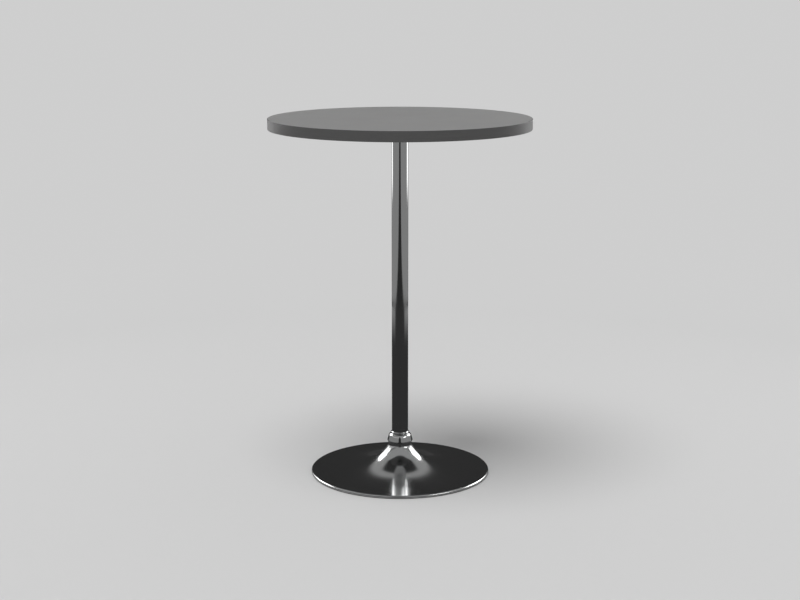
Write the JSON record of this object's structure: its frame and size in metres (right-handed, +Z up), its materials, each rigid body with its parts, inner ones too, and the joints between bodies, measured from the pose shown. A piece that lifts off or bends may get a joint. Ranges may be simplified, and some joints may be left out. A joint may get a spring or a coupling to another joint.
{
  "type": "round bar table",
  "caption": "Tall fixed-height round bar table: flat laminate top with a banded edge, one chromed tube column, a bell collar and a trumpet-shaped chromed base.",
  "frame": {"origin": "on the floor, under the column's axis, in the plane that the rubber ring rests on", "axes": "+Z up along the column; +X to the right and -Y towards the viewer as pictured, the table being round"},
  "size_m": [0.8, 0.8, 1.1113],
  "materials": {
    "grey_laminate": "matte grey high-pressure laminate",
    "edge_band": "matte grey plastic edge band",
    "backing_sheet": "dark matte balancing laminate",
    "chipboard_core": "bare chipboard",
    "chrome": "polished chrome plate on steel",
    "black_painted_steel": "satin black powder coat",
    "cast_iron": "rough cast, dark primer",
    "zinc_steel": "bright zinc plate",
    "rubber": "matt black"
  },
  "bodies": {
    "root": {"tabletop_core": "chipboard_core", "top_laminate": "grey_laminate", "backing_laminate": "backing_sheet", "edge_band": "edge_band", "mounting_plate": "black_painted_steel", "plate_socket": "black_painted_steel", "base_hub": "black_painted_steel", "column_tube": "chrome", "collar": "chrome", "base_shell": "chrome", "ballast_plate": "cast_iron", "rubber_ring": "rubber", "tie_rod": "zinc_steel", "top_nut": "zinc_steel", "bottom_washer": "zinc_steel", "lock_washer": "zinc_steel", "bottom_nut": "zinc_steel", "plate_bolt_1": "zinc_steel", "plate_washer_1": "zinc_steel", "insert_nut_1": "zinc_steel", "plate_bolt_2": "zinc_steel", "plate_washer_2": "zinc_steel", "insert_nut_2": "zinc_steel", "plate_bolt_3": "zinc_steel", "plate_washer_3": "zinc_steel", "insert_nut_3": "zinc_steel", "plate_bolt_4": "zinc_steel", "plate_washer_4": "zinc_steel", "insert_nut_4": "zinc_steel"}
  },
  "joints": []
}
